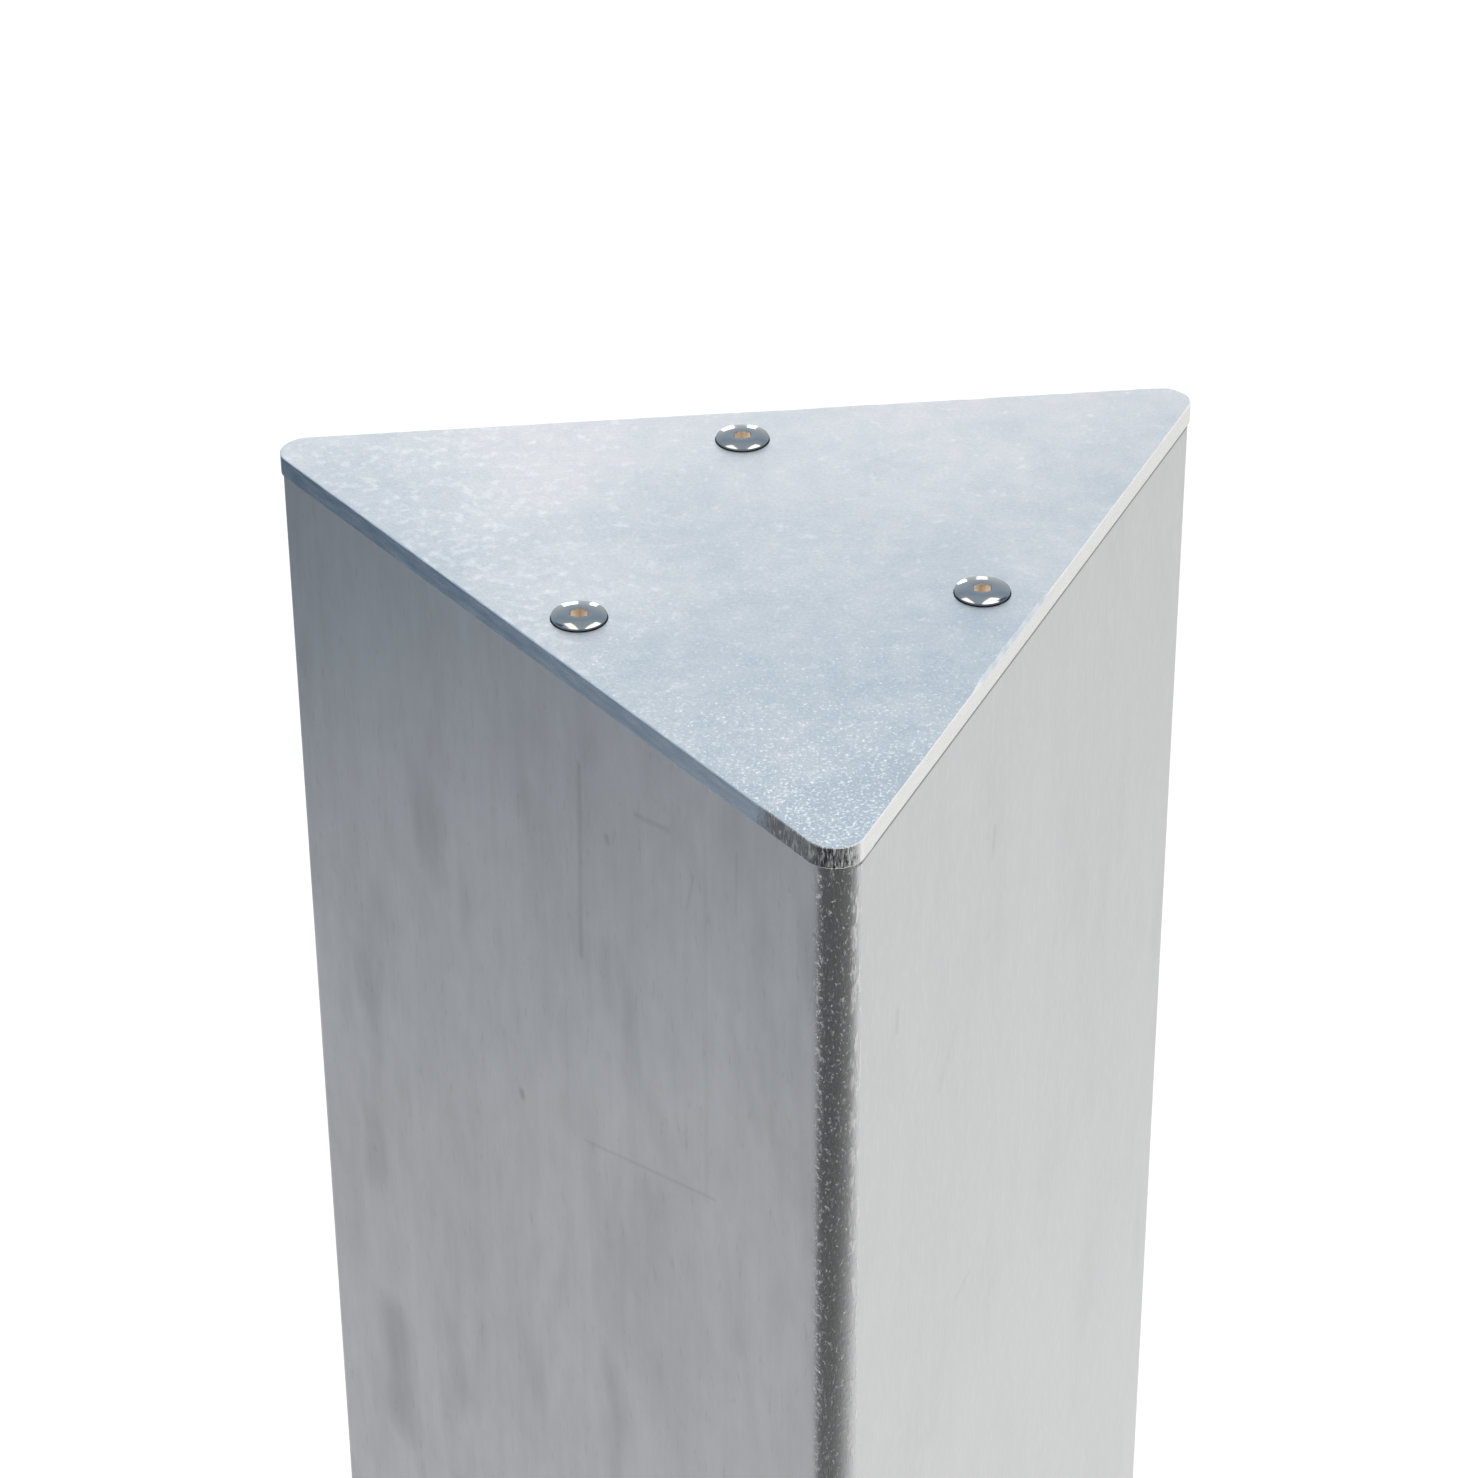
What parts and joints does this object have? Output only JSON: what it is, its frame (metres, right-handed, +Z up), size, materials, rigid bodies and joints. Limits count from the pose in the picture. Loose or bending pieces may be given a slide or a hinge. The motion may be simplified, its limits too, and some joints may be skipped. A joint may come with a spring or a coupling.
{
  "type": "signpost",
  "caption": "Hollow three-sided aluminium signpost with rounded corners, a flat top cap screwed into ports inside its walls, and a bolt-down foot plate.",
  "frame": {"origin": "on the post's axis, at the underside of the foot plate", "axes": "+Z up along the post, -Y through the corner between the left and right faces, +Y out of the back face"},
  "size_m": [0.3092, 0.2759, 1.217],
  "materials": {
    "post_extrusion": "mill finish extrusion with lengthwise die lines",
    "cap_sheet": "mill finish sheet, fine grained, with sheared edges",
    "foot_sheet": "mill finish plate",
    "bright_screws": "polished stainless steel",
    "plain_screws": "plain stainless steel"
  },
  "bodies": {
    "root": {"post": "post_extrusion", "cap_plate": "cap_sheet", "foot_plate": "foot_sheet", "cap_screw_back": "bright_screws", "cap_screw_left": "bright_screws", "cap_screw_right": "bright_screws", "foot_screw_back": "plain_screws", "foot_screw_left": "plain_screws", "foot_screw_right": "plain_screws"}
  },
  "joints": []
}
